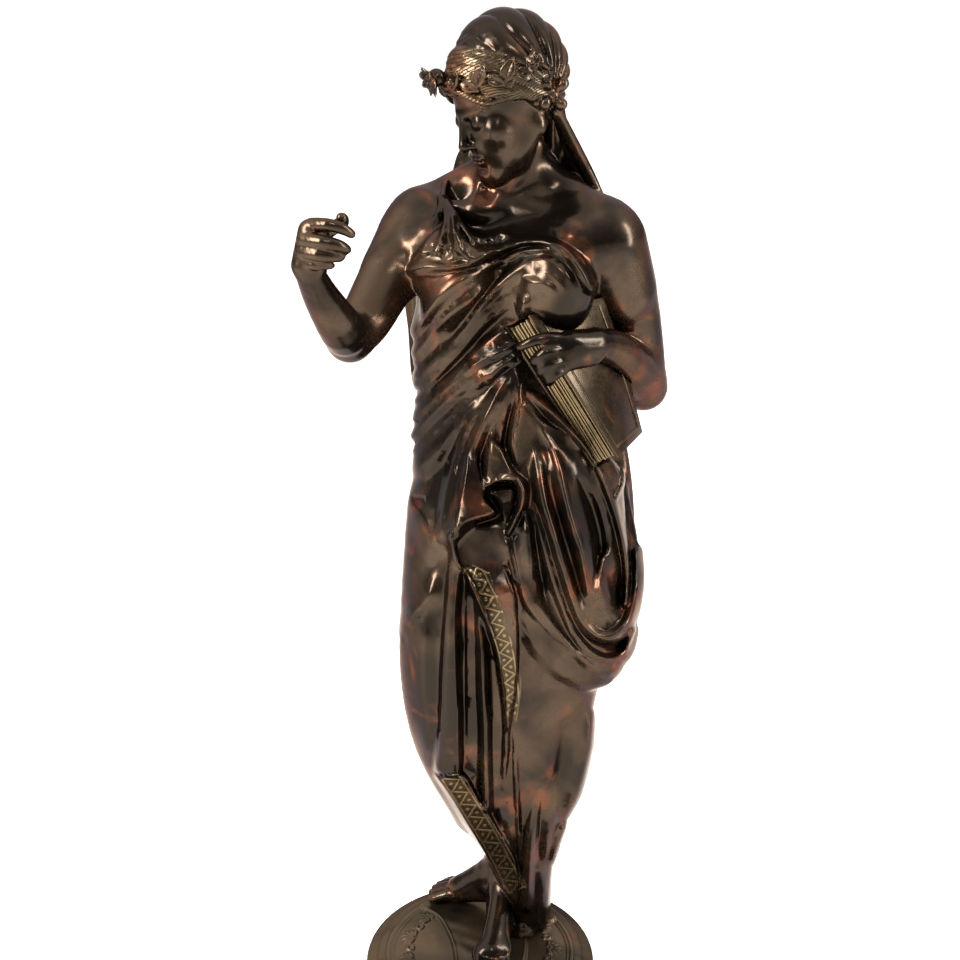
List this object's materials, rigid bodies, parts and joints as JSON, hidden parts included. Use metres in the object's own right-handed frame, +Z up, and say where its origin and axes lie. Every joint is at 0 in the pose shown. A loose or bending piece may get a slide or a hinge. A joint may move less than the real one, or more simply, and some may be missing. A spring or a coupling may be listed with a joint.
{
  "type": "bronze female figure",
  "caption": "Standing draped woman in dark bronze, one arm raised and a book held at her hip, on a round moulded plinth.",
  "frame": {"origin": "centre of the plinth's flat underside", "axes": "+Z up along the figure, -Y towards the viewer, +X to the viewer's right"},
  "size_m": [0.2283, 0.2206, 0.6937],
  "materials": {
    "base_bronze": "dark brown patina, satin",
    "figure_bronze": "dark brown patina, polished by handling",
    "book_bronze": "dark brown patina, satin"
  },
  "bodies": {
    "root": {"base": "base_bronze", "figure": "figure_bronze", "book": "book_bronze"}
  },
  "joints": []
}
